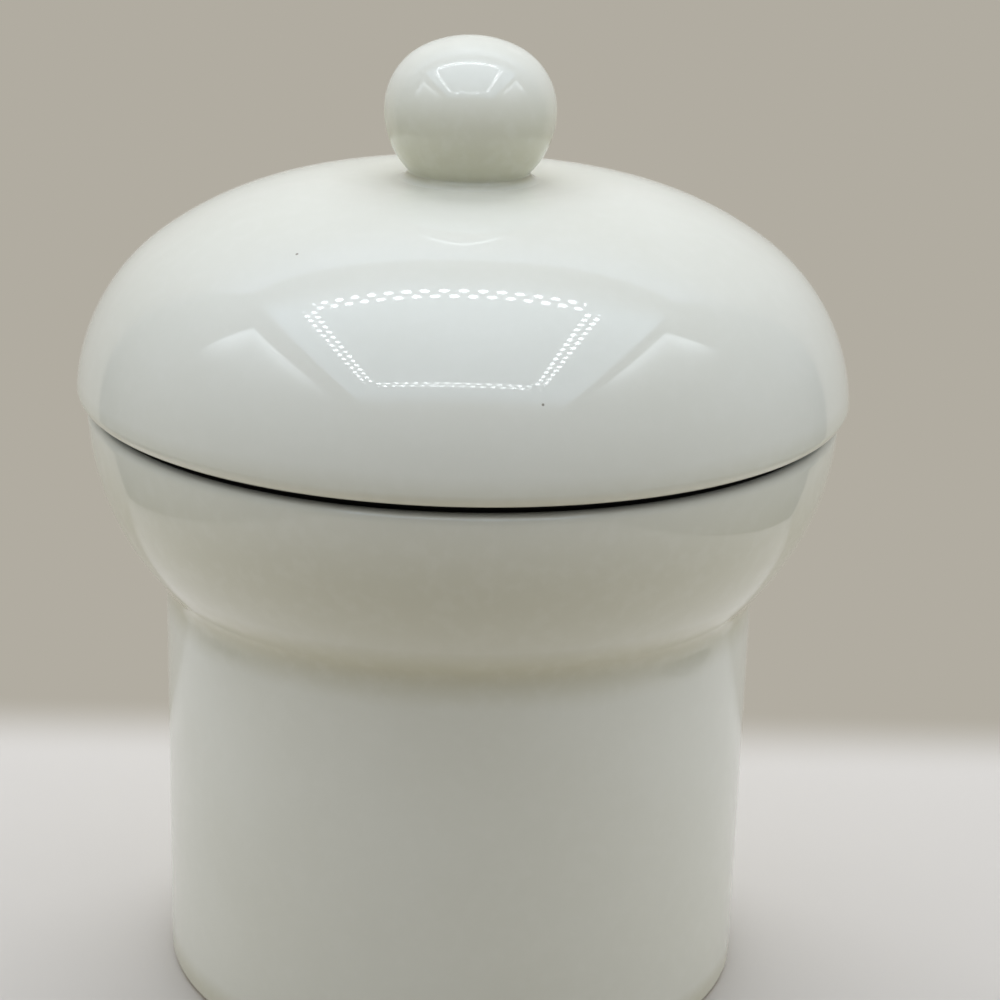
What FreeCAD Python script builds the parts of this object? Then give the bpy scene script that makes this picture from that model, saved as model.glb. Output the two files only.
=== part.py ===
import FreeCAD, Part
import Sketcher
import math
import os

# A lidded garlic keeper in glazed earthenware: a jar, its domed lid and the ball knob on the lid.
# Each piece is round about the Z axis. The origin is at the middle of the foot, where the jar stands.
# Lengths are in millimetres and angles in degrees.

SIZES = {
    # jar: a straight body with a bowl-shaped collar that flares out of it
    "body_radius": 49.5,
    "rim_height": 98.7,
    "collar_flare": 12.3,
    "collar_arc": 41.5,
    "collar_lip": 0.2,
    "crease_round": 5.5,
    "wall": 4.5,
    "rim_round": 1.0,
    "mouth_round": 0.8,
    "floor_round": 6.0,
    "foot_width": 5.0,
    "foot_recess": 1.2,
    "foot_round": 1.2,
    "recess_chamfer": 0.5,
    # lid: a domed shell, a landing that rests on the rim, and a flange that keeps it in the mouth
    "lid_overhang": 1.7,
    "lid_rise": 36.8,
    "shoulder_level": 0.8,
    "crown_radius": 18.4,
    "shoulder_angle": 36.0,
    "lid_wall": 4.5,
    "lid_round": 1.0,
    "gap_height": 1.3,
    "gap_reach": 2.6,
    "flange_depth": 8.5,
    "flange_play": 0.9,
    "flange_round": 1.2,
    # knob: a slightly flattened ball that narrows to a throat, on a low seat in the middle of the crown
    "knob_radius": 13.9,
    "knob_foot": 10.0,
    "throat_round": 0.8,
    "knob_cap": 11.8,
    "cap_angle": 25.0,
    "seat_height": 1.1,
    "seat_round": 1.0,
}

# Lengths that several features share, as expressions on the sheet's cells
RIM_RADIUS = "(Sizes.body_radius + Sizes.collar_flare)"
LID_RADIUS = f"({RIM_RADIUS} + Sizes.lid_overhang)"
DOME_RISE = "(Sizes.lid_rise - Sizes.shoulder_level)"
COLLAR_CENTRE = f"({RIM_RADIUS} - Sizes.collar_arc)"
COLLAR_LEVEL = "(Sizes.rim_height - Sizes.collar_lip)"
FLANGE_RADIUS = (
    f"({COLLAR_CENTRE} + sqrt((Sizes.collar_arc - Sizes.wall)^2"
    " - (Sizes.flange_depth - Sizes.collar_lip)^2) - Sizes.flange_play)"
)
GAP_RADIUS = f"({RIM_RADIUS} - Sizes.gap_reach)"
THROAT_CENTRE = "(Sizes.knob_foot + Sizes.throat_round)"
WIDEST_LEVEL = f"sqrt((Sizes.knob_radius + Sizes.throat_round)^2 - {THROAT_CENTRE}^2)"

# Ends of an edge in a sketch, and the sketch's own axes and origin
START, END, CENTRE = 1, 2, 3
ACROSS, UPRIGHT = -1, -2
ORIGIN = (ACROSS, START)

doc = FreeCAD.newDocument("GarlicKeeper")


def write_sheet():
    """Put every driving dimension in a cell of its own, under its own alias."""
    sheet = doc.addObject("Spreadsheet::Sheet", "Sizes")
    for row, (alias, value) in enumerate(SIZES.items(), start=1):
        sheet.set(f"A{row}", alias)
        sheet.set(f"B{row}", str(value))
        sheet.setAlias(f"B{row}", alias)
    doc.recompute()
    return sheet


def measure(expression):
    """Value of an expression on the sheet, to start a sketch near its answer or to find an edge."""
    value = sheet.evalExpression(expression)
    return getattr(value, "Value", value)


def new_body(label, height):
    """A body whose own level zero stands at this height in the keeper."""
    body = doc.addObject("PartDesign::Body", label.capitalize())
    body.Label = label
    body.setExpression("Placement.Base.z", height)
    return body


def new_sketch(body, name, role):
    """An empty sketch on one of the body's own origin planes."""
    plane = next(item for item in body.Origin.OriginFeatures if item.Role == role)
    sketch = body.newObject("Sketcher::SketchObject", name)
    sketch.AttachmentSupport = [(plane, "")]
    sketch.MapMode = "FlatFace"
    return sketch


def point(x, y):
    return FreeCAD.Vector(x, y, 0)


def line(sketch, start, end):
    """A straight edge between two (radius, height) points."""
    return sketch.addGeometry(Part.LineSegment(point(*start), point(*end)), False)


def arc(sketch, centre, radius, low, high):
    """An arc that runs anticlockwise from the angle low to the angle high."""
    circle = Part.Circle(point(*centre), FreeCAD.Vector(0, 0, 1), radius)
    return sketch.addGeometry(Part.ArcOfCircle(circle, math.radians(low), math.radians(high)), False)


def disc_sketch(body, name, radius):
    """A disc of this radius on the body's level plane."""
    sketch = new_sketch(body, name, "XY_Plane")
    circle = Part.Circle(point(0, 0), FreeCAD.Vector(0, 0, 1), measure(radius))
    disc = sketch.addGeometry(circle, False)
    join(sketch, ((disc, CENTRE), ORIGIN))
    drive(sketch, "Radius", (disc,), radius)
    return sketch


def tie(sketch, kind, *places):
    """Add a constraint that has no dimension."""
    return sketch.addConstraint(Sketcher.Constraint(kind, *places))


def drive(sketch, kind, places, expression):
    """Add a dimension that follows the sheet."""
    value = measure(expression)
    if kind == "Angle":
        value = math.radians(value)
    index = sketch.addConstraint(Sketcher.Constraint(kind, *places, value))
    sketch.setExpression(f"Constraints[{index}]", expression)


def join(sketch, *pairs):
    """Make the two ends in each pair coincide. An end is (edge, place on the edge)."""
    for first, second in pairs:
        tie(sketch, "Coincident", *first, *second)


def flow(sketch, *pairs):
    """Join the two ends in each pair so that one edge runs smoothly into the other."""
    for first, second in pairs:
        tie(sketch, "Tangent", *first, *second)


def turn(body, kind, sketch, name):
    """Turn a closed profile all the way round the Z axis."""
    feature = body.newObject(f"PartDesign::{kind}", name)
    feature.Profile = sketch
    feature.ReferenceAxis = (sketch, ["V_Axis"])
    feature.Angle = 360.0
    doc.recompute()
    return feature


def ring_edge(shape, radius, height):
    """Name of the closed edge that passes nearest to this radius and height."""
    gaps = {}
    for number, edge in enumerate(shape.Edges, start=1):
        if edge.isClosed():
            spot = edge.valueAt(edge.FirstParameter)
            gaps[f"Edge{number}"] = math.hypot(math.hypot(spot.x, spot.y) - radius, spot.z - height)
    return min(gaps, key=gaps.get)


def dress_rings(body, kind, name, rings, size):
    """Round or bevel the edges nearest to these (radius, height) pairs of expressions."""
    base = body.Tip
    edges = [ring_edge(base.Shape, measure(radius), measure(height)) for radius, height in rings]
    dressing = body.newObject(f"PartDesign::{kind}", name)
    dressing.Base = (base, edges)
    dressing.setExpression({"Fillet": "Radius", "Chamfer": "Size"}[kind], size)
    doc.recompute()


def two_arc_dome(sketch, half_width, rise, flat, angle, base):
    """Shoulder and haunch arcs that climb from upright at half_width to level at flat, rise above base.

    The steep shoulder hands over to the shallow haunch where both arcs lean out from the axis by the given
    angle, so their radii follow from the width, the rise and that angle. Returns the two arcs.
    """
    width, climb, level, foot = measure(half_width), measure(rise), measure(flat), measure(base)
    lean = math.radians(measure(angle))
    share = (1 - math.sin(lean)) / math.cos(lean)
    haunch_radius = (width - level - share * climb) / (math.sin(lean) - share * (1 - math.cos(lean)))
    shoulder_radius = (climb - haunch_radius * (1 - math.cos(lean))) / math.cos(lean)
    handover = 90 - math.degrees(lean)
    centre = (width - shoulder_radius, foot)
    tip = (centre[0] + shoulder_radius * math.sin(lean), foot + shoulder_radius * math.cos(lean))
    shoulder = arc(sketch, centre, shoulder_radius, 0, handover)
    haunch = arc(sketch, (level, foot + climb - haunch_radius), haunch_radius, handover, 90)
    spoke = sketch.addGeometry(Part.LineSegment(point(*centre), point(*tip)), True)
    flow(sketch, ((shoulder, END), (haunch, START)))
    join(sketch, ((spoke, START), (shoulder, CENTRE)), ((spoke, END), (shoulder, END)))
    drive(sketch, "Angle", (spoke,), f"90 deg - {angle} * 1 deg")
    return shoulder, haunch


def jar_profile(body):
    """Half section of the jar: the outside from foot to rim, and the inside one even wall within it."""
    sketch = new_sketch(body, "JarProfile", "XZ_Plane")
    side, top, wall = measure("Sizes.body_radius"), measure("Sizes.rim_height"), measure("Sizes.wall")
    bowl, crease = measure("Sizes.collar_arc"), measure("Sizes.crease_round")
    bowl_x, bowl_z = measure(COLLAR_CENTRE), measure(COLLAR_LEVEL)
    crease_x = side + crease
    crease_z = bowl_z - math.sqrt((bowl + crease) ** 2 - (crease_x - bowl_x) ** 2)
    lean = math.degrees(math.atan2(bowl_z - crease_z, crease_x - bowl_x))
    lip, rise = measure("Sizes.rim_round"), top - bowl_z - measure("Sizes.rim_round")
    lip_x = bowl_x + math.sqrt((bowl - lip) ** 2 - rise**2)
    lip_turn = math.degrees(math.atan2(rise, lip_x - bowl_x))
    edge, climb = measure("Sizes.mouth_round"), top - bowl_z - measure("Sizes.mouth_round")
    edge_x = bowl_x + math.sqrt((bowl - wall + edge) ** 2 - climb**2)
    edge_turn = math.degrees(math.atan2(climb, edge_x - bowl_x))

    foot = line(sketch, (0, 0), (side, 0))
    outside = line(sketch, (side, 0), (side, crease_z))
    crease_out = arc(sketch, (crease_x, crease_z), crease, 180 - lean, 180)
    collar_out = arc(sketch, (bowl_x, bowl_z), bowl, -lean, lip_turn)
    rim_out = arc(sketch, (lip_x, top - lip), lip, lip_turn, 90)
    rim = line(sketch, (lip_x, top), (edge_x, top))
    rim_in = arc(sketch, (edge_x, top - edge), edge, 90, 180 + edge_turn)
    collar_in = arc(sketch, (bowl_x, bowl_z), bowl - wall, -lean, edge_turn)
    crease_in = arc(sketch, (crease_x, crease_z), crease + wall, 180 - lean, 180)
    inside = line(sketch, (side - wall, crease_z), (side - wall, wall))
    floor = line(sketch, (side - wall, wall), (0, wall))
    axis = line(sketch, (0, wall), (0, 0))

    join(sketch, ((foot, START), ORIGIN), ((foot, END), (outside, START)))
    flow(sketch, ((outside, END), (crease_out, END)), ((crease_out, START), (collar_out, START)))
    flow(sketch, ((collar_out, END), (rim_out, START)), ((rim_out, END), (rim, START)))
    flow(sketch, ((rim, END), (rim_in, START)), ((rim_in, END), (collar_in, END)))
    flow(sketch, ((collar_in, START), (crease_in, START)), ((crease_in, END), (inside, START)))
    join(sketch, ((inside, END), (floor, START)), ((floor, END), (axis, START)), ((axis, END), (foot, START)))
    join(sketch, ((collar_in, CENTRE), (collar_out, CENTRE)), ((crease_in, CENTRE), (crease_out, CENTRE)))
    for level in (foot, rim, floor):
        tie(sketch, "Horizontal", level)
    for upright in (outside, inside, axis):
        tie(sketch, "Vertical", upright)
    drive(sketch, "DistanceX", (foot, START, foot, END), "Sizes.body_radius")
    drive(sketch, "DistanceY", (*ORIGIN, rim, START), "Sizes.rim_height")
    drive(sketch, "DistanceX", (*ORIGIN, collar_out, CENTRE), COLLAR_CENTRE)
    drive(sketch, "DistanceY", (*ORIGIN, collar_out, CENTRE), COLLAR_LEVEL)
    drive(sketch, "Radius", (collar_out,), "Sizes.collar_arc")
    drive(sketch, "Radius", (collar_in,), "Sizes.collar_arc - Sizes.wall")
    drive(sketch, "Radius", (crease_out,), "Sizes.crease_round")
    drive(sketch, "Radius", (rim_out,), "Sizes.rim_round")
    drive(sketch, "Radius", (rim_in,), "Sizes.mouth_round")
    drive(sketch, "DistanceY", (axis, END, axis, START), "Sizes.wall")
    return sketch


def make_jar():
    """Cast jar: an even wall that flares into the collar through a soft crease, on a turned foot ring."""
    jar = new_body("jar", "0")
    turn(jar, "Revolution", jar_profile(jar), "JarWall")

    recess_radius = "Sizes.body_radius - Sizes.foot_width"
    recess = jar.newObject("PartDesign::Pocket", "FootRecess")
    recess.Profile = disc_sketch(jar, "FootRecessOutline", recess_radius)
    recess.Reversed = True
    recess.setExpression("Length", "Sizes.foot_recess")
    doc.recompute()

    inner_edge = ("Sizes.body_radius - Sizes.wall", "Sizes.wall")
    dress_rings(jar, "Fillet", "FloorRound", [inner_edge], "Sizes.floor_round")
    dress_rings(jar, "Fillet", "FootRound", [("Sizes.body_radius", "0")], "Sizes.foot_round")
    dress_rings(jar, "Chamfer", "RecessBevel", [(recess_radius, "0")], "Sizes.recess_chamfer")
    return jar


def lid_profile(body):
    """Half section of the lid: crown, haunch, shoulder, landing and flange, with one even wall inside.

    The landing steps up short of the edge, which leaves an open line between the lid's edge and the rim.
    """
    sketch = new_sketch(body, "LidProfile", "XZ_Plane")
    width, rise, flat = measure(LID_RADIUS), measure("Sizes.lid_rise"), measure("Sizes.crown_radius")
    base = measure("Sizes.shoulder_level")
    skirt_x, depth, wall = measure(FLANGE_RADIUS), measure("Sizes.flange_depth"), measure("Sizes.lid_wall")
    step_x, gap, lip = measure(GAP_RADIUS), measure("Sizes.gap_height"), measure("Sizes.lid_round")
    shoulder_out, haunch_out = two_arc_dome(
        sketch, LID_RADIUS, DOME_RISE, "Sizes.crown_radius", "Sizes.shoulder_angle", "Sizes.shoulder_level"
    )
    shoulder, haunch = sketch.Geometry[shoulder_out], sketch.Geometry[haunch_out]
    shoulder_x, handover = shoulder.Center.x, math.degrees(haunch.FirstParameter)
    lip_x = shoulder_x + math.sqrt((shoulder.Radius - lip) ** 2 - (gap + lip - base) ** 2)
    lip_turn = math.degrees(math.atan2(gap + lip - base, lip_x - shoulder_x))
    tuck = math.asin((wall - base) / (shoulder.Radius - wall))
    ledge_x = shoulder_x + (shoulder.Radius - wall) * math.cos(tuck)

    reach = sketch.addGeometry(Part.LineSegment(point(shoulder_x, base), point(width, base)), True)
    edge = arc(sketch, (lip_x, gap + lip), lip, -90, lip_turn)
    crown = line(sketch, (flat, rise), (0, rise))
    axis = line(sketch, (0, rise), (0, rise - wall))
    ceiling = line(sketch, (0, rise - wall), (flat, rise - wall))
    haunch_in = arc(sketch, (flat, haunch.Center.y), haunch.Radius - wall, handover, 90)
    shoulder_in = arc(sketch, (shoulder_x, base), shoulder.Radius - wall, math.degrees(tuck), handover)
    ledge = line(sketch, (ledge_x, wall), (skirt_x - wall, wall))
    flange_in = line(sketch, (skirt_x - wall, wall), (skirt_x - wall, -depth))
    mouth = line(sketch, (skirt_x - wall, -depth), (skirt_x, -depth))
    skirt = line(sketch, (skirt_x, -depth), (skirt_x, 0))
    landing = line(sketch, (skirt_x, 0), (step_x, 0))
    step = line(sketch, (step_x, 0), (step_x, gap))
    roof = line(sketch, (lip_x, gap), (step_x, gap))

    flow(sketch, ((haunch_out, END), (crown, START)), ((ceiling, END), (haunch_in, END)))
    flow(sketch, ((haunch_in, START), (shoulder_in, END)))
    flow(sketch, ((shoulder_out, START), (edge, END)), ((edge, START), (roof, START)))
    join(sketch, ((crown, END), (axis, START)), ((axis, END), (ceiling, START)))
    join(sketch, ((shoulder_in, START), (ledge, START)), ((ledge, END), (flange_in, START)))
    join(sketch, ((flange_in, END), (mouth, START)), ((mouth, END), (skirt, START)))
    join(sketch, ((skirt, END), (landing, START)), ((landing, END), (step, START)), ((step, END), (roof, END)))
    join(sketch, ((haunch_in, CENTRE), (haunch_out, CENTRE)), ((shoulder_in, CENTRE), (shoulder_out, CENTRE)))
    join(sketch, ((reach, START), (shoulder_out, CENTRE)))
    tie(sketch, "PointOnObject", reach, END, shoulder_out)
    for level in (crown, ceiling, ledge, mouth, roof, reach):
        tie(sketch, "Horizontal", level)
    for upright in (flange_in, skirt, step):
        tie(sketch, "Vertical", upright)
    for place in (START, END):
        tie(sketch, "PointOnObject", axis, place, UPRIGHT)
        tie(sketch, "PointOnObject", landing, place, ACROSS)
    drive(sketch, "DistanceX", (*ORIGIN, reach, END), LID_RADIUS)
    drive(sketch, "DistanceY", (*ORIGIN, reach, END), "Sizes.shoulder_level")
    drive(sketch, "DistanceY", (*ORIGIN, crown, START), "Sizes.lid_rise")
    drive(sketch, "DistanceX", (*ORIGIN, crown, START), "Sizes.crown_radius")
    drive(sketch, "DistanceX", (*ORIGIN, skirt, END), FLANGE_RADIUS)
    drive(sketch, "DistanceX", (*ORIGIN, landing, END), GAP_RADIUS)
    drive(sketch, "DistanceY", (skirt, START, skirt, END), "Sizes.flange_depth")
    drive(sketch, "DistanceY", (step, START, step, END), "Sizes.gap_height")
    drive(sketch, "DistanceX", (mouth, START, mouth, END), "Sizes.lid_wall")
    drive(sketch, "DistanceY", (axis, END, axis, START), "Sizes.lid_wall")
    drive(sketch, "DistanceY", (*ORIGIN, ledge, START), "Sizes.lid_wall")
    drive(sketch, "Radius", (edge,), "Sizes.lid_round")
    return sketch


def make_lid():
    """Cast lid: a domed shell with a landing, an open line at its edge, a flange and a seat for the knob."""
    lid = new_body("lid", "Sizes.rim_height")
    turn(lid, "Revolution", lid_profile(lid), "LidWall")

    outline = disc_sketch(lid, "KnobSeatOutline", "Sizes.knob_foot")
    outline.setExpression("AttachmentOffset.Base.z", "Sizes.lid_rise")
    seat = lid.newObject("PartDesign::Pad", "KnobSeat")
    seat.Profile = outline
    seat.setExpression("Length", "Sizes.seat_height")
    doc.recompute()

    low = "-Sizes.flange_depth"
    rings = [(FLANGE_RADIUS, low), (f"{FLANGE_RADIUS} - Sizes.lid_wall", low)]
    dress_rings(lid, "Fillet", "SeatRound", [("Sizes.knob_foot", "Sizes.lid_rise")], "Sizes.seat_round")
    dress_rings(lid, "Fillet", "FlangeRound", rings, "Sizes.flange_round")
    return lid


def knob_profile(body):
    """Half section of the knob: a flat foot, a throat, a ball up to its widest, then a slightly flattened cap."""
    sketch = new_sketch(body, "KnobProfile", "XZ_Plane")
    radius, foot_x, bend_x = measure("Sizes.knob_radius"), measure("Sizes.knob_foot"), measure(THROAT_CENTRE)
    widest = measure(WIDEST_LEVEL)
    top = widest + measure("Sizes.knob_cap")
    lean = math.degrees(math.atan2(widest, bend_x))
    shoulder, cap = two_arc_dome(
        sketch, "Sizes.knob_radius", "Sizes.knob_cap", "0", "Sizes.cap_angle", WIDEST_LEVEL
    )
    axis = line(sketch, (0, top), (0, 0))
    foot = line(sketch, (0, 0), (foot_x, 0))
    throat = arc(sketch, (bend_x, 0), bend_x - foot_x, 180 - lean, 180)
    ball = arc(sketch, (0, widest), radius, -lean, 0)

    join(sketch, ((cap, END), (axis, START)), ((axis, END), (foot, START)), ((foot, START), ORIGIN))
    join(sketch, ((foot, END), (throat, END)), ((ball, END), (shoulder, START)))
    flow(sketch, ((throat, START), (ball, START)))
    tie(sketch, "Horizontal", foot)
    tie(sketch, "Vertical", axis)
    tie(sketch, "PointOnObject", throat, CENTRE, ACROSS)
    tie(sketch, "Horizontal", ball, CENTRE, ball, END)
    tie(sketch, "Horizontal", ball, CENTRE, shoulder, CENTRE)
    for bend in (ball, cap):
        tie(sketch, "PointOnObject", bend, CENTRE, UPRIGHT)
    drive(sketch, "Radius", (ball,), "Sizes.knob_radius")
    drive(sketch, "Radius", (throat,), "Sizes.throat_round")
    drive(sketch, "DistanceX", (foot, START, foot, END), "Sizes.knob_foot")
    drive(sketch, "DistanceY", (ball, CENTRE, axis, START), "Sizes.knob_cap")
    return sketch


def make_knob():
    """Solid ball knob, luted by its flat foot to the seat on the lid."""
    knob = new_body("knob", "Sizes.rim_height + Sizes.lid_rise + Sizes.seat_height")
    turn(knob, "Revolution", knob_profile(knob), "KnobForm")
    return knob


def check_model(bodies):
    """Stop if an object failed, a sketch is loose, a shape is unsound, or a cut or pad did the wrong thing."""
    for item in doc.Objects:
        if {"Invalid", "Error"} & set(item.State):
            raise RuntimeError(f"{item.Name} failed: {item.State}")
        if item.TypeId == "Sketcher::SketchObject" and item.solve() != 0:
            raise RuntimeError(f"{item.Name} doesn't solve")
    for name, grows in (("FootRecess", False), ("KnobSeat", True)):
        feature = doc.getObject(name)
        change = feature.Shape.Volume - feature.BaseFeature.Shape.Volume
        if change == 0 or (change > 0) != grows:
            raise RuntimeError(f"{name} changed the volume by {change:.1f}")
    for body in bodies:
        if body.Shape.isNull() or not body.Shape.isValid() or len(body.Shape.Solids) != 1:
            raise RuntimeError(f"{body.Label} isn't one sound solid")


sheet = write_sheet()
pieces = [make_jar(), make_lid(), make_knob()]
doc.recompute()
check_model(pieces)

os.makedirs("parts", exist_ok=True)
for piece in pieces:
    piece.Shape.exportStep(f"parts/{piece.Label}.step")
    print(f"{piece.Label}: {piece.Shape.Volume:.0f} mm3 of clay")
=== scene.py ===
import math
import bmesh
import bpy
from mathutils import Matrix, Vector


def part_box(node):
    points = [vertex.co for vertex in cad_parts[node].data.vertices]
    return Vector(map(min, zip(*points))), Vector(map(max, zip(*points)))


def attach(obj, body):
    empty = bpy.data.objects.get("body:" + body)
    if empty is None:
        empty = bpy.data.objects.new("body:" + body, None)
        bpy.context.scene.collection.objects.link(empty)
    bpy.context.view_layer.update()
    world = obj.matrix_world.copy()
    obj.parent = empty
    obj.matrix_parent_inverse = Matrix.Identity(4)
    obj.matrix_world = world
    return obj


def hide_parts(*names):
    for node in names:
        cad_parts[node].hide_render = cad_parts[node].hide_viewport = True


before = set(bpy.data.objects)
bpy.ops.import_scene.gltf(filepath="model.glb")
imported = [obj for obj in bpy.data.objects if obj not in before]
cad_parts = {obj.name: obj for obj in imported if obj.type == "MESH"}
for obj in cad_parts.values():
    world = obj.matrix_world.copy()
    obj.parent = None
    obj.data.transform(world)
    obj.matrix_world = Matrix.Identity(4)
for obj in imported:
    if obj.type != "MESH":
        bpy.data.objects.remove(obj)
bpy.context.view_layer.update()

# The jar
# Slip-cast white earthenware of one even thickness, cream glazed inside and out. The straight body draws in
# through a soft crease under a bowl-shaped collar. The ring that it stands on was wiped clean of glaze
# before firing, so it shows the bare clay.
MM = 0.001

rim_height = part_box("jar")[1].z / MM
body_radius = 49.5
rim_radius = body_radius + 12.3
wall = 4.5
foot_width = 5.0
foot_recess = 1.2
collar_radius = 41.5
collar_centre = Vector((rim_radius - collar_radius, rim_height - 0.2))
crease_radius = 5.5
arc_step, arc_degrees = 0.9, 3
turn_steps = 216
weld_gap = 0.002


def start_pen(x, z):
    """A half section in the XZ plane, in millimetres, and the point of the pen that draws it."""
    section = bmesh.new()
    return section, section.verts.new((x, 0, z))


def pull(section, pen, x, z, parts=1):
    """Draw a straight run to this radius and height."""
    start, end = pen.co.copy(), Vector((x, 0, z))
    for part in range(1, parts + 1):
        pen = bmesh.ops.extrude_vert_indiv(section, verts=[pen])["verts"][0]
        pen.co = start.lerp(end, part / parts)
    return pen


def swing(section, pen, centre, degrees):
    """Draw an arc about this centre, anticlockwise for a positive angle."""
    pivot = Vector((centre[0], 0, centre[1]))
    arc_length = abs(math.radians(degrees)) * (pen.co - pivot).length
    steps = max(6, round(arc_length / arc_step), round(abs(degrees) / arc_degrees))
    swept = bmesh.ops.spin(
        section, geom=[pen], cent=pivot, axis=(0, -1, 0), angle=math.radians(degrees), steps=steps,
    )
    return next(item for item in swept["geom_last"] if isinstance(item, bmesh.types.BMVert))


def slope(centre, x, z):
    """Angle in degrees at which a point of the section is seen from a centre."""
    return math.degrees(math.atan2(z - centre[1], x - centre[0]))


def add_object(name, form):
    """Make an object of this form and put it in the scene."""
    mesh = bpy.data.meshes.new(name)
    form.to_mesh(mesh)
    form.free()
    made = bpy.data.objects.new(name, mesh)
    bpy.context.scene.collection.objects.link(made)
    return made


def throw(section, name):
    """Turn the section round the Z axis, close it, and make the piece's object."""
    bmesh.ops.spin(
        section, geom=section.verts[:] + section.edges[:], cent=(0, 0, 0), axis=(0, 0, 1),
        angle=math.tau, steps=turn_steps, use_merge=True,
    )
    bmesh.ops.remove_doubles(section, verts=section.verts, dist=weld_gap)
    bmesh.ops.recalc_face_normals(section, faces=section.faces)
    bmesh.ops.scale(section, vec=(MM, MM, MM), verts=section.verts)
    piece = add_object(name, section)
    piece.data.shade_smooth()
    return piece


def draw_jar():
    """Half section of the jar, from the middle of its underside over the rim to the middle of its floor."""
    foot_round, recess_round, floor_round, rim_round, mouth_round = 1.2, 0.5, 6.0, 1.5, 0.8
    recess_radius = body_radius - foot_width
    inner_radius = body_radius - wall
    crease_x = body_radius + crease_radius
    crease_drop = math.sqrt((collar_radius + crease_radius) ** 2 - (crease_x - collar_centre.x) ** 2)
    crease = Vector((crease_x, collar_centre.y - crease_drop))
    lean = slope(collar_centre, *crease)
    lip_z, mouth_z = rim_height - rim_round, rim_height - mouth_round
    lip_reach = math.sqrt((collar_radius - rim_round) ** 2 - (lip_z - collar_centre.y) ** 2)
    mouth_reach = math.sqrt((collar_radius - wall + mouth_round) ** 2 - (mouth_z - collar_centre.y) ** 2)
    lip = Vector((collar_centre.x + lip_reach, lip_z))
    mouth = Vector((collar_centre.x + mouth_reach, mouth_z))
    lip_turn, mouth_turn = slope(collar_centre, *lip), slope(collar_centre, *mouth)

    jar, pen = start_pen(0, foot_recess)
    pen = pull(jar, pen, recess_radius - recess_round, foot_recess, 10)
    pen = swing(jar, pen, (recess_radius - recess_round, foot_recess - recess_round), -90)
    pen = pull(jar, pen, recess_radius, recess_round)
    pen = swing(jar, pen, (recess_radius + recess_round, recess_round), 90)
    pen = pull(jar, pen, body_radius - foot_round, 0, 3)
    pen = swing(jar, pen, (body_radius - foot_round, foot_round), 90)
    pen = pull(jar, pen, body_radius, crease.y, 60)
    pen = swing(jar, pen, crease, lean)
    pen = swing(jar, pen, collar_centre, lip_turn - lean)
    pen = swing(jar, pen, lip, 90 - lip_turn)
    pen = pull(jar, pen, mouth.x, rim_height, 3)
    pen = swing(jar, pen, mouth, 90 + mouth_turn)
    pen = swing(jar, pen, collar_centre, lean - mouth_turn)
    pen = swing(jar, pen, crease, -lean)
    pen = pull(jar, pen, inner_radius, wall + floor_round, 30)
    pen = swing(jar, pen, (inner_radius - floor_round, wall + floor_round), -90)
    pull(jar, pen, 0, wall, 16)
    return jar


def node(tree, kind, sockets=(), **settings):
    """A node with its settings made, and each named or numbered socket set or linked."""
    made = tree.nodes.new(f"ShaderNode{kind}")
    for name, value in settings.items():
        setattr(made, name, value)
    for name, value in dict(sockets).items():
        if isinstance(value, bpy.types.NodeSocket):
            tree.links.new(value, made.inputs[name])
        else:
            made.inputs[name].default_value = value
    return made


def reckon(tree, kind, *terms):
    """Result of one sum on numbers or number sockets."""
    return node(tree, "Math", dict(enumerate(terms)), operation=kind).outputs[0]


def fade(tree, value, low, high, start=0.0, end=1.0):
    """A soft change from start to end as the value goes from low to high."""
    sockets = {"Value": value, "From Min": low, "From Max": high, "To Min": start, "To Max": end}
    return node(tree, "MapRange", sockets, interpolation_type="SMOOTHSTEP").outputs[0]


def tint(tree, share, first, second):
    """First colour, gone over to the second by this share."""
    return node(tree, "Mix", {0: share, 6: first, 7: second}, data_type="RGBA").outputs[2]


def between(tree, value, rise, fall):
    """One between two soft edges. Each edge is given by where it starts and ends, in millimetres."""
    risen = fade(tree, value, rise[0] * MM, rise[1] * MM)
    fallen = fade(tree, value, fall[0] * MM, fall[1] * MM, 1.0, 0.0)
    return reckon(tree, "MULTIPLY", risen, fallen)


def clouds(tree, place, size, detail=2.0):
    """Cloudy pattern with patches about this many millimetres across."""
    sockets = {"Vector": place, "Scale": 1 / (size * MM), "Detail": detail}
    return node(tree, "TexNoise", sockets).outputs["Fac"]


def spot_at(tree, place, spot, radius):
    """One within a small round spot, fading to nought at its radius. Lengths are in millimetres."""
    centre = [part * MM for part in spot]
    gap = node(tree, "VectorMath", {0: place, 1: centre}, operation="DISTANCE").outputs["Value"]
    return fade(tree, gap, radius * 0.5 * MM, radius * MM, 1.0, 0.0)


def start_material(name):
    """A new material, with its node tree and its shader."""
    material = bpy.data.materials.new(name)
    material.use_nodes = True
    return material, material.node_tree, material.node_tree.nodes["Principled BSDF"]


glaze_colour = (0.745, 0.750, 0.680, 1)
# Darker warm colour for thick glaze, also used for painted shade.
thick_glaze_and_shade = (0.550, 0.530, 0.395, 1)
thin_glaze = (0.800, 0.800, 0.740, 1)
iron_brown = (0.300, 0.270, 0.220, 1)
bare_clay = (0.420, 0.350, 0.270, 1)
pale_grit = (0.560, 0.490, 0.400, 1)
# Near-black colour for the painted shadow in the gap between lid and jar.
painted_gap_shade = (0.020, 0.018, 0.016, 1)
speck_spacing = 23.0
rim_inset = 1.7


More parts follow.
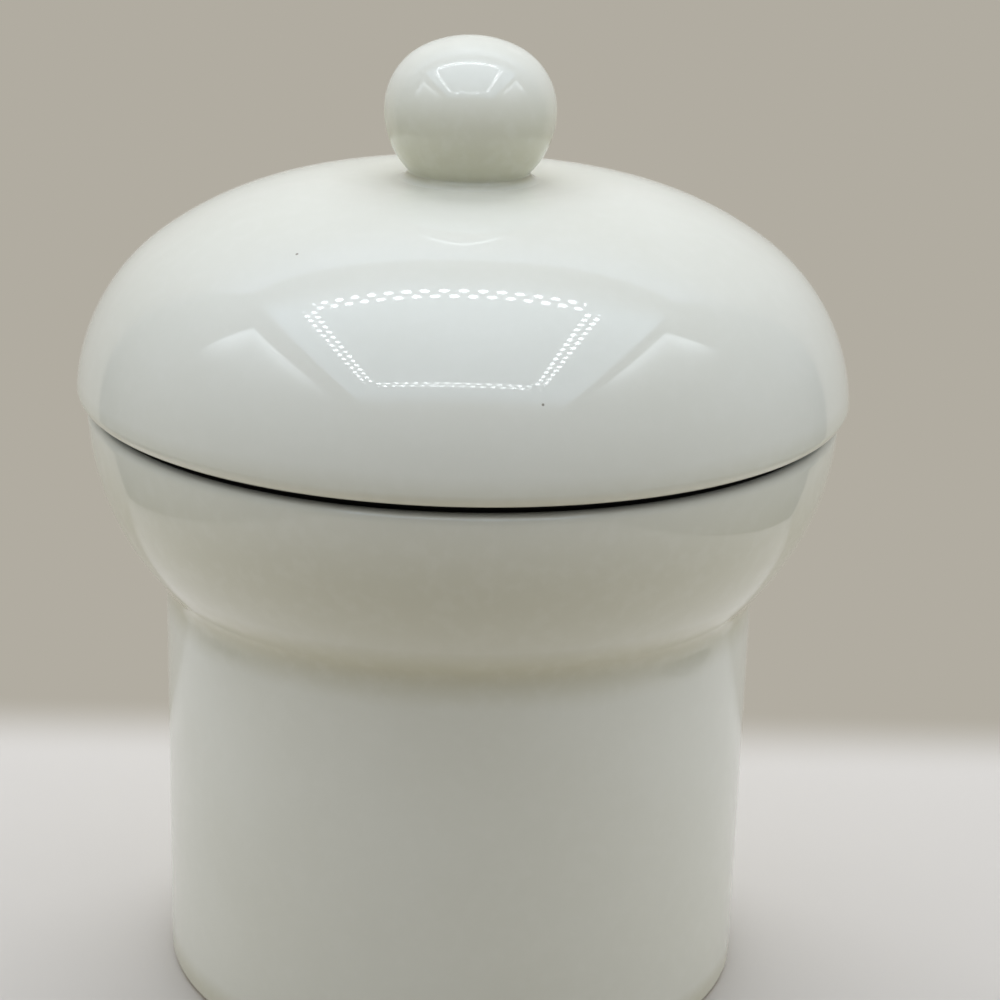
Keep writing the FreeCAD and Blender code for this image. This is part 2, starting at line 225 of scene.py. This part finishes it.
def glaze(name, pooled_and_shaded, specks, bare, painted_shade=None):
    """Cream gloss glaze with faint ripples, orange peel, pinholes and specks of iron.

    The second argument lists levels painted darker and warmer, partly thick glaze and partly painted shade,
    each with its half width and its strength.
    specks lists single specks, each with its place and radius. bare gives the share of bare clay. The last
    argument gives the share painted near black: painted shadow in the gap between lid and jar.
    """
    material, tree, shader = start_material(name)
    place = node(tree, "TexCoord").outputs["Object"]
    height = node(tree, "SeparateXYZ", {0: place}).outputs["Z"]

    gathered_and_shaded = fade(tree, clouds(tree, place, 38.0), 0.30, 0.72, 0.0, 0.12)
    # Bands at set heights are painted darker and warmer, partly thick glaze and partly painted shade.
    for level, half_width, strength in pooled_and_shaded:
        distance = reckon(tree, "ABSOLUTE", reckon(tree, "SUBTRACT", height, level * MM))
        band = fade(tree, distance, 0.0, half_width * MM, strength, 0.0)
        gathered_and_shaded = reckon(tree, "MAXIMUM", gathered_and_shaded, band)
    colour = tint(tree, gathered_and_shaded, glaze_colour, thick_glaze_and_shade)
    mottle = fade(tree, clouds(tree, place, 2.6, 4.0), 0.44, 0.70, 0.0, 0.12)
    colour = tint(tree, mottle, colour, thin_glaze)

    cells = node(tree, "TexVoronoi", {"Vector": place, "Scale": 1 / (speck_spacing * MM)})
    lot = node(tree, "SeparateXYZ", {0: cells.outputs["Color"]}).outputs["X"]
    dust = reckon(tree, "MULTIPLY", fade(tree, cells.outputs["Distance"], 0.006, 0.012, 0.45, 0.0),
                  fade(tree, lot, 0.70, 0.72))
    for spot, radius in specks:
        dust = reckon(tree, "MAXIMUM", dust, spot_at(tree, place, spot, radius))
    colour = tint(tree, dust, colour, iron_brown)

    bare_share = bare(tree, place, height)
    grit = tint(tree, clouds(tree, place, 0.7, 6.0), bare_clay, pale_grit)
    colour = tint(tree, bare_share, colour, grit)
    # The gap under the lid's edge is painted near black here as painted shadow.
    if painted_shade:
        colour = tint(tree, painted_shade(tree, place, height), colour, painted_gap_shade)
    tree.links.new(colour, shader.inputs["Base Color"])

    polish = fade(tree, clouds(tree, place, 9.0, 3.0), 0.30, 0.75, 0.030, 0.055)
    polish = reckon(tree, "MAXIMUM", polish, reckon(tree, "MULTIPLY", bare_share, 0.75))
    tree.links.new(polish, shader.inputs["Roughness"])
    shader.inputs["IOR"].default_value = 1.5

    ripple = reckon(tree, "MULTIPLY", clouds(tree, place, 17.0, 1.0), 0.030)
    peel = reckon(tree, "MULTIPLY", clouds(tree, place, 1.6), 0.0010)
    pits = reckon(tree, "MULTIPLY", dust, -0.05)
    clay_grain = reckon(tree, "MULTIPLY", clouds(tree, place, 0.4, 4.0), bare_share)
    grain = reckon(tree, "MULTIPLY", clay_grain, 0.06)
    relief = reckon(tree, "ADD", reckon(tree, "ADD", ripple, peel), reckon(tree, "ADD", pits, grain))
    bump = node(tree, "Bump", {"Strength": 1.0, "Distance": MM, "Height": relief})
    tree.links.new(bump.outputs["Normal"], shader.inputs["Normal"])
    return material


def from_axis(tree, place):
    """Distance of a place from the Z axis."""
    across = node(tree, "VectorMath", {0: place, 1: (1, 1, 0)}, operation="MULTIPLY").outputs[0]
    return node(tree, "VectorMath", {0: across}, operation="LENGTH").outputs["Value"]


def bare_foot(tree, place, height):
    """The foot ring, wiped up to a slightly wavy line, and the flat of the rim that the lid rests on."""
    edge = reckon(tree, "ADD", height, reckon(tree, "MULTIPLY", clouds(tree, place, 6.0), -0.5 * MM))
    foot = fade(tree, edge, -0.02 * MM, 0.12 * MM, 1.0, 0.0)
    flat_edge = rim_radius - rim_inset
    on_flat = fade(tree, from_axis(tree, place), (flat_edge - 0.3) * MM, flat_edge * MM, 1.0, 0.0)
    on_top = fade(tree, height, (rim_height - 0.20) * MM, (rim_height - 0.08) * MM)
    rim = reckon(tree, "MULTIPLY", on_flat, on_top)
    return reckon(tree, "MAXIMUM", foot, rim)


def painted_rim_shade(tree, place, height):
    """Painted shadow on the part of the rim's flat that lies open under the lid's edge."""
    open_part = between(tree, from_axis(tree, place), (rim_radius - 3.2, rim_radius - 2.7),
                        (rim_radius - 1.8, rim_radius - 1.4))
    on_top = fade(tree, height, (rim_height - 0.20) * MM, (rim_height - 0.05) * MM)
    return reckon(tree, "MULTIPLY", open_part, on_top)


jar = throw(draw_jar(), "jar_body")
# Darker bands at the crease, over the collar under the lid's edge, and at the foot and floor. They are partly
# thick glaze and partly painted shade.
jar_pools_and_shade = [(69.5, 8.0, 0.75), (86.0, 19.0, 0.55), (1.5, 5.0, 0.6)]
jar.data.materials.append(glaze("cream_glaze_jar", jar_pools_and_shade, [], bare_foot, painted_rim_shade))
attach(jar, "jar")
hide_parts("jar")

# The lid
# A cast dome of the same even wall: a nearly level crown, a long haunch and a steep shoulder. A flange inside
# the edge drops into the jar's mouth. The landing that rests on the rim and the flange's foot stay unglazed,
# so that the lid doesn't stick to the jar in the kiln.
lid_low, lid_high = (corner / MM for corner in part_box("lid"))
knob_low, knob_high = (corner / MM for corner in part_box("knob"))
lid_radius = rim_radius + 1.7
shoulder_level = rim_height + 0.8
crown_level = lid_high.z - 1.1
crown_radius = 18.4
shoulder_angle = 36.0
flange_play = 0.9
mouth_reach = math.sqrt((collar_radius - wall) ** 2 - (collar_centre.y - lid_low.z) ** 2)
flange_radius = collar_centre.x + mouth_reach - flange_play
gap_radius = rim_radius - 2.6
gap_height = 1.3
knob_radius = 13.9
knob_foot = 10.0
throat_round = 0.8
edge_inset = (lid_radius - 2.1, lid_radius - 1.7)
slot_roof = (rim_height + 1.4, rim_height + 1.6)
knob_widest = knob_low.z + math.sqrt((knob_radius + throat_round) ** 2 - (knob_foot + throat_round) ** 2)


def dome_arcs(half_width, rise, flat, degrees):
    """Radii of the shoulder and the haunch, which meet where both lean out by this angle."""
    lean = math.radians(degrees)
    share = (1 - math.sin(lean)) / math.cos(lean)
    haunch = (half_width - flat - share * rise) / (math.sin(lean) - share * (1 - math.cos(lean)))
    return (rise - haunch * (1 - math.cos(lean))) / math.cos(lean), haunch


def draw_lid():
    """Half section of the lid, from the middle of its ceiling round the flange and edge to the knob's seat."""
    edge_round, flange_round, ledge_round, soft_corner = 2.0, 1.2, 2.0, 0.3
    shoulder, haunch = dome_arcs(lid_radius, crown_level - shoulder_level, crown_radius, shoulder_angle)
    handover = 90 - shoulder_angle
    hub = Vector((lid_radius - shoulder, shoulder_level))
    crown = Vector((crown_radius, crown_level - haunch))
    ledge = rim_height + wall
    corner_rise = ledge + ledge_round - hub.y
    corner_reach = math.sqrt((shoulder - wall - ledge_round) ** 2 - corner_rise**2)
    corner = Vector((hub.x + corner_reach, ledge + ledge_round))
    corner_turn = slope(hub, *corner)
    bore = flange_radius - wall
    tip = lid_low.z + flange_round
    edge_z = rim_height + gap_height + edge_round
    edge = Vector((hub.x + math.sqrt((shoulder - edge_round) ** 2 - (edge_z - hub.y) ** 2), edge_z))
    edge_turn = slope(hub, *edge)
    seat_spread, seat_rise = 1.7, lid_high.z - crown_level
    seat_round = (seat_spread**2 + seat_rise**2) / (2 * seat_rise)
    seat_turn = math.degrees(2 * math.atan(seat_rise / seat_spread))

    lid, pen = start_pen(0, crown_level - wall)
    pen = pull(lid, pen, crown_radius, crown_level - wall, 8)
    pen = swing(lid, pen, crown, -shoulder_angle)
    pen = swing(lid, pen, hub, corner_turn - handover)
    pen = swing(lid, pen, corner, -90 - corner_turn)
    pen = pull(lid, pen, bore + ledge_round, ledge, 3)
    pen = swing(lid, pen, (bore + ledge_round, ledge - ledge_round), 90)
    pen = pull(lid, pen, bore, tip, 8)
    pen = swing(lid, pen, (bore + flange_round, tip), 90)
    pen = pull(lid, pen, flange_radius - flange_round, lid_low.z, 2)
    pen = swing(lid, pen, (flange_radius - flange_round, tip), 90)
    pen = pull(lid, pen, flange_radius, rim_height - soft_corner, 6)
    pen = swing(lid, pen, (flange_radius + soft_corner, rim_height - soft_corner), -90)
    pen = pull(lid, pen, gap_radius - soft_corner, rim_height, 3)
    pen = swing(lid, pen, (gap_radius - soft_corner, rim_height + soft_corner), 90)
    pen = pull(lid, pen, gap_radius, rim_height + gap_height - soft_corner)
    pen = swing(lid, pen, (gap_radius + soft_corner, rim_height + gap_height - soft_corner), -90)
    pen = pull(lid, pen, edge.x, rim_height + gap_height, 2)
    pen = swing(lid, pen, edge, 90 + edge_turn)
    pen = swing(lid, pen, hub, handover - edge_turn)
    pen = swing(lid, pen, crown, shoulder_angle)
    pen = pull(lid, pen, knob_foot + seat_spread, crown_level, 6)
    pen = swing(lid, pen, (knob_foot + seat_spread, crown_level + seat_round), -seat_turn)
    pull(lid, pen, 0, lid_high.z, 8)
    return lid


def bare_landing(tree, place, height):
    """The landing on the rim, the underside of the edge and the foot of the flange."""
    ring = between(tree, from_axis(tree, place), (flange_radius - 0.4, flange_radius - 0.2), edge_inset)
    band = between(tree, height, (rim_height - 0.6, rim_height - 0.3), slot_roof)
    landing = reckon(tree, "MULTIPLY", ring, band)
    flange_foot = fade(tree, height, (lid_low.z + 0.4) * MM, (lid_low.z + 0.9) * MM, 1.0, 0.0)
    return reckon(tree, "MAXIMUM", landing, flange_foot)


def painted_slot_shade(tree, place, height):
    """Painted shadow on the underside of the lid's edge, from the landing's wall almost to the rounded corner.
    """
    ring = between(tree, from_axis(tree, place), (gap_radius - 0.6, gap_radius - 0.1), edge_inset)
    below_edge = fade(tree, height, slot_roof[0] * MM, slot_roof[1] * MM, 1.0, 0.0)
    return reckon(tree, "MULTIPLY", ring, below_edge)


lid = throw(draw_lid(), "lid_dome")
lid_specks = [((-25.3, -34.2, 129.9), 0.30), ((11.2, -58.7, 114.5), 0.26)]
# Darker bands at the knob's seat and just above the lid's lower edge, partly thick glaze and partly painted
# shade.
lid_pools_and_shade = [(lid_high.z, 1.2, 1.0), (rim_height + 2.0, 5.0, 0.4)]
lid.data.materials.append(glaze("cream_glaze_lid", lid_pools_and_shade, lid_specks, bare_landing, painted_slot_shade))
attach(lid, "lid")
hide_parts("lid")

# The knob
# A ball of the same clay, a little flattened on top, luted by its flat foot to the seat in the middle of the
# crown and glazed with the lid. Its lower half is painted darker, partly glaze gathered towards the throat and
# partly painted shade under the ball.
knob_cap = knob_high.z - knob_widest
cap_angle = 25.0
# The knob's lower half is painted darker, partly thick glaze and partly painted shade under the ball.
knob_pools_and_shade = [(knob_low.z + 3.0, 16.0, 0.9)]


def draw_knob():
    """Half section of the knob, from the middle of its foot through the throat to its top."""
    shoulder, cap = dome_arcs(knob_radius, knob_cap, 0, cap_angle)
    throat = (knob_foot + throat_round, knob_low.z)
    lean = slope((0, knob_widest), *throat)
    knob, pen = start_pen(0, knob_low.z)
    pen = pull(knob, pen, knob_foot, knob_low.z, 5)
    pen = swing(knob, pen, throat, lean)
    pen = swing(knob, pen, (0, knob_widest), -lean)
    pen = swing(knob, pen, (knob_radius - shoulder, knob_widest), 90 - cap_angle)
    swing(knob, pen, (0, knob_high.z - cap), cap_angle)
    return knob


def bare_underside(tree, place, height):
    """Only the face that is luted down has no glaze."""
    return fade(tree, height, (knob_low.z + 0.01) * MM, (knob_low.z + 0.03) * MM, 1.0, 0.0)


knob = throw(draw_knob(), "knob_ball")
knob.data.materials.append(glaze("cream_glaze_knob", knob_pools_and_shade, [], bare_underside))
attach(knob, "lid")
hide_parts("knob")

# The floor
# A plain pale floor that takes the soft shadow and throws a warm glow, itself unseen, up at the keeper.
# Behind the keeper it goes over to the backdrop's flat colour.
floor_colour = (0.580, 0.545, 0.498, 1)
warm_glow = (1.0, 0.86, 0.51, 1)
floor_glow = 0.135
backdrop_colour = (0.440, 0.413, 0.356, 1)
floor_radius = 6.0
horizon = (0.070, 0.102)


def seen_rays(tree):
    """One for the rays that bring a surface's look to the camera, straight or by way of a mirror or glass."""
    ray = node(tree, "LightPath").outputs
    seen = reckon(tree, "MAXIMUM", ray["Is Camera Ray"], ray["Is Glossy Ray"])
    return reckon(tree, "MAXIMUM", seen, ray["Is Transmission Ray"])


def lay_floor():
    sheet = bmesh.new()
    bmesh.ops.create_circle(sheet, cap_ends=True, segments=96, radius=floor_radius)
    floor = add_object("floor", sheet)
    material, tree, shader = start_material("floor")
    shader.inputs["Base Color"].default_value = floor_colour
    shader.inputs["Roughness"].default_value = 0.8
    shader.inputs["Emission Color"].default_value = warm_glow
    deep = node(tree, "SeparateXYZ", {0: node(tree, "TexCoord").outputs["Object"]}).outputs["Y"]
    seen = seen_rays(tree)
    tree.links.new(fade(tree, seen, 0.0, 1.0, floor_glow, 0.0), shader.inputs["Emission Strength"])
    flat = node(tree, "Emission", {"Color": backdrop_colour, "Strength": seen}).outputs[0]
    mixed = node(tree, "MixShader", {0: fade(tree, deep, *horizon), 1: shader.outputs[0], 2: flat})
    tree.links.new(mixed.outputs[0], tree.nodes["Material Output"].inputs["Surface"])
    material.cycles.emission_sampling = "NONE"
    floor.data.materials.append(material)
    return floor


lay_floor()

# The studio box
# Grey walls and a glowing roof close round the keeper, and only its glaze sees them. The back has the
# backdrop's colour, brighter at the top. Under the roof hangs a square frame of small lamps in two staggered
# rows, and high on each side wall lies a patch of light with two sharp edges.
box_low = Vector((-0.195, -0.390, 0.0))
box_high = Vector((0.190, 0.088, 0.350))
frame_centre = Vector((-0.0165, -0.117, 0.350))
frame_side = 0.272
strip_width = 0.022
lamp_pitch = 0.0145
lamp_length, lamp_width = 0.0080, 0.0064
lamp_colour = (17.0, 18.0, 19.0, 1)
patch_corners = ((-0.018, 0.304), (-0.012, 0.325))
patch_edge, patch_rim, patch_reach = 0.004, 0.045, (0.09, 0.23)
wall_foot = (0.09, 0.17)
glow_front, glow_back = (-0.36, -0.26), (-0.01, 0.06)
back_rise = (0.23, 0.345)
glint_across, glint_high, glint_bow = -0.003, 0.285, 99.0
side_grey = (0.220, 0.245, 0.240, 1)
side_foot = (0.045, 0.055, 0.050, 1)
roof_grey = (0.240, 0.265, 0.270, 1)
roof_glow = (1.450, 1.850, 2.250, 1)
back_glow = (0.800, 0.920, 1.100, 1)
back_glint = (2.200, 2.400, 2.500, 1)
front_grey = (0.150, 0.165, 0.165, 1)
patch_colour = (3.20, 3.55, 3.80, 1)


def lit_patch(tree, deep, high, corner):
    """A patch below and in front of a corner of light, brightest along its two edges."""
    behind = reckon(tree, "SUBTRACT", corner[0], deep)
    below = reckon(tree, "SUBTRACT", corner[1], high)
    inside = reckon(tree, "MULTIPLY", fade(tree, behind, 0.0, patch_edge), fade(tree, below, 0.0, patch_edge))
    rim = reckon(tree, "MAXIMUM", fade(tree, behind, 0.0, patch_rim, 1.0, 0.25),
                 fade(tree, below, 0.0, patch_rim, 1.0, 0.25))
    below_twice = reckon(tree, "MULTIPLY", below, 2.0)
    reach = reckon(tree, "SQRT", reckon(tree, "ADD", reckon(tree, "POWER", behind, 2.0),
                                        reckon(tree, "POWER", below_twice, 2.0)))
    lit = reckon(tree, "MULTIPLY", inside, rim)
    return reckon(tree, "MULTIPLY", lit, fade(tree, reach, *patch_reach, 1.0, 0.0))


def lamps(tree, along, across):
    """Two staggered rows of small lamps on a strip, from its inner edge outwards."""
    row = reckon(tree, "MULTIPLY", across, 2 / strip_width)
    stagger = reckon(tree, "MULTIPLY", reckon(tree, "FLOOR", row), 0.5)
    column = reckon(tree, "ADD", reckon(tree, "MULTIPLY", along, 1 / lamp_pitch), stagger)
    off_row = reckon(tree, "SUBTRACT", reckon(tree, "FRACT", row), 0.5)
    off_column = reckon(tree, "SUBTRACT", reckon(tree, "FRACT", column), 0.5)
    rows = reckon(tree, "POWER", reckon(tree, "MULTIPLY", off_row, strip_width / lamp_width), 2.0)
    columns = reckon(tree, "POWER", reckon(tree, "MULTIPLY", off_column, 2 * lamp_pitch / lamp_length), 2.0)
    strip = reckon(tree, "MULTIPLY", reckon(tree, "GREATER_THAN", across, 0.0),
                   reckon(tree, "LESS_THAN", across, strip_width))
    return reckon(tree, "MULTIPLY", strip, fade(tree, reckon(tree, "ADD", rows, columns), 0.7, 1.1, 1.0, 0.0))


def lamp_frame(tree, across, deep, high):
    """The four strips of the frame under the roof."""
    inner = frame_side / 2 - strip_width
    from_side = reckon(tree, "SUBTRACT", across, frame_centre.x)
    from_back = reckon(tree, "SUBTRACT", deep, frame_centre.y)
    past_side = reckon(tree, "SUBTRACT", reckon(tree, "ABSOLUTE", from_side), inner)
    past_back = reckon(tree, "SUBTRACT", reckon(tree, "ABSOLUTE", from_back), inner)
    crossways = reckon(tree, "MULTIPLY", lamps(tree, from_side, past_back),
                       reckon(tree, "LESS_THAN", past_side, 0.0))
    lengthways = reckon(tree, "MULTIPLY", lamps(tree, from_back, past_side),
                        reckon(tree, "LESS_THAN", past_back, 0.0))
    under_roof = reckon(tree, "GREATER_THAN", high, box_high.z - MM)
    return reckon(tree, "MULTIPLY", under_roof, reckon(tree, "ADD", crossways, lengthways))


def glint(tree, across, high):
    """A short bowed line of light on the back, which shows in the crown in front of the knob."""
    off_middle = reckon(tree, "ABSOLUTE", reckon(tree, "SUBTRACT", across, glint_across))
    bow = reckon(tree, "MULTIPLY", reckon(tree, "POWER", off_middle, 2.0), glint_bow)
    off_line = reckon(tree, "ABSOLUTE", reckon(tree, "ADD", reckon(tree, "SUBTRACT", high, glint_high), bow))
    return reckon(tree, "MULTIPLY", fade(tree, off_middle, 0.014, 0.020, 1.0, 0.0),
                  fade(tree, off_line, 0.002, 0.006, 1.0, 0.0))


def hang_box():
    shell = bmesh.new()
    bmesh.ops.create_cube(shell, size=1.0)
    bottom = [face for face in shell.faces if face.normal.z < -0.5]
    bmesh.ops.delete(shell, geom=bottom, context="FACES_ONLY")
    bmesh.ops.scale(shell, vec=box_high - box_low, verts=shell.verts)
    bmesh.ops.translate(shell, vec=(box_high + box_low) / 2, verts=shell.verts)
    box = add_object("studio_box", shell)
    box.visible_camera = box.visible_diffuse = box.visible_shadow = False
    material, tree, shader = start_material("studio_box")
    tree.nodes.remove(shader)
    across, deep, high = node(tree, "SeparateXYZ", {0: node(tree, "TexCoord").outputs["Object"]}).outputs
    left = reckon(tree, "LESS_THAN", across, box_low.x + MM)
    right = reckon(tree, "GREATER_THAN", across, box_high.x - MM)
    glowing = reckon(tree, "MULTIPLY", fade(tree, deep, *glow_front), fade(tree, deep, *glow_back, 1.0, 0.0))
    side_colour = tint(tree, fade(tree, high, *wall_foot), side_foot, side_grey)
    colour = tint(tree, glowing, roof_grey, roof_glow)
    colour = tint(tree, reckon(tree, "MAXIMUM", left, right), colour, side_colour)
    for side, corner in zip((left, right), patch_corners):
        patch = reckon(tree, "MULTIPLY", side, lit_patch(tree, deep, high, corner))
        colour = tint(tree, patch, colour, patch_colour)
    back_colour = tint(tree, fade(tree, high, *back_rise), backdrop_colour, back_glow)
    back_colour = tint(tree, glint(tree, across, high), back_colour, back_glint)
    colour = tint(tree, reckon(tree, "GREATER_THAN", deep, box_high.y - MM), colour, back_colour)
    colour = tint(tree, reckon(tree, "LESS_THAN", deep, box_low.y + MM), colour, front_grey)
    colour = tint(tree, lamp_frame(tree, across, deep, high), colour, lamp_colour)
    flat = node(tree, "Emission", {"Color": colour, "Strength": 1.0}).outputs[0]
    tree.links.new(flat, tree.nodes["Material Output"].inputs["Surface"])
    material.cycles.emission_sampling = "NONE"
    box.data.materials.append(material)
    return box


hang_box()

# The light
# The lamp frame lights the keeper evenly from above, and soft lights stand over it, at its sides and behind
# it. None of them shows in the glaze, which has the studio box to mirror.
cool_white = (0.96, 1.0, 1.07, 1)
lamps_even_strength = 4.6
light_level = 0.36
downwards = (0, 0, -1)
dim_world = (0.01, 0.01, 0.01, 1)


def soft_light(name, centre, size, facing, strength):
    """An even cool white light that lies unseen in a plane and faces along a direction."""
    light = bpy.data.lights.new(name, "AREA")
    light.shape = "RECTANGLE"
    light.size, light.size_y = size
    light.energy = size[0] * size[1] * math.pi
    light.use_nodes = True
    shader = light.node_tree.nodes["Emission"]
    shader.inputs["Color"].default_value = cool_white
    shader.inputs["Strength"].default_value = strength
    lamp = bpy.data.objects.new(name, light)
    lamp.location = centre
    lamp.rotation_mode = "QUATERNION"
    lamp.rotation_quaternion = Vector(facing).to_track_quat("-Z", "Y")
    lamp.visible_camera = lamp.visible_glossy = False
    bpy.context.scene.collection.objects.link(lamp)


strip_place = (frame_side - strip_width) / 2
for side in (-1, 1):
    across_place = frame_centre + Vector((0, side * strip_place, 0))
    along_place = frame_centre + Vector((side * strip_place, 0, 0))
    across_size, along_size = (frame_side, strip_width), (strip_width, frame_side)
    soft_light(f"lamps_across_{side}", across_place, across_size, downwards, lamps_even_strength)
    soft_light(f"lamps_along_{side}", along_place, along_size, downwards, lamps_even_strength)
soft_light("roof_front", (0.0, -0.26, light_level), (0.36, 0.20), downwards, 0.8)
soft_light("roof_middle", (0.0, -0.09, light_level), (0.36, 0.14), downwards, 2.1)
soft_light("roof_back", (0.0, 0.18, light_level), (0.36, 0.16), downwards, 2.3)
soft_light("left_side", (-0.19, -0.05, 0.12), (0.40, 0.22), (1, 0, 0), 0.74)
soft_light("right_side", (0.20, -0.05, 0.12), (0.40, 0.22), (-1, 0, 0), 0.80)
soft_light("behind", (0.0, 0.20, 0.20), (0.40, 0.30), (0, -1, 0), 2.5)

world = bpy.data.worlds.new("studio")
bpy.context.scene.world = world
world.use_nodes = True
sky = world.node_tree
sky_colour = tint(sky, seen_rays(sky), dim_world, backdrop_colour)
sky.links.new(sky_colour, sky.nodes["Background"].inputs["Color"])

# The camera
# It stands about 0.4 m in front of the keeper and looks 18 degrees down on it.
camera_place = Vector((0, -0.38452, 0.20743))
turned, dipped, rolled = 0.0169, math.radians(18.21), -0.0287
level_reach = math.cos(dipped)
forward = Vector((math.sin(turned) * level_reach, math.cos(turned) * level_reach, -math.sin(dipped)))
right = Vector((math.cos(turned), -math.sin(turned), 0))
down = forward.cross(right)
side_axis = math.cos(rolled) * right + math.sin(rolled) * down
down_axis = -math.sin(rolled) * right + math.cos(rolled) * down
lens = bpy.data.cameras.new("camera")
lens.sensor_width = 36.0
lens.lens = 86.4
lens.clip_start = 0.01
camera = bpy.data.objects.new("camera", lens)
turn = Matrix((side_axis, -down_axis, -forward)).transposed()
camera.matrix_world = Matrix.Translation(camera_place) @ turn.to_4x4()
bpy.context.scene.collection.objects.link(camera)
bpy.context.scene.camera = camera
bpy.context.scene.view_settings.view_transform = "Standard"
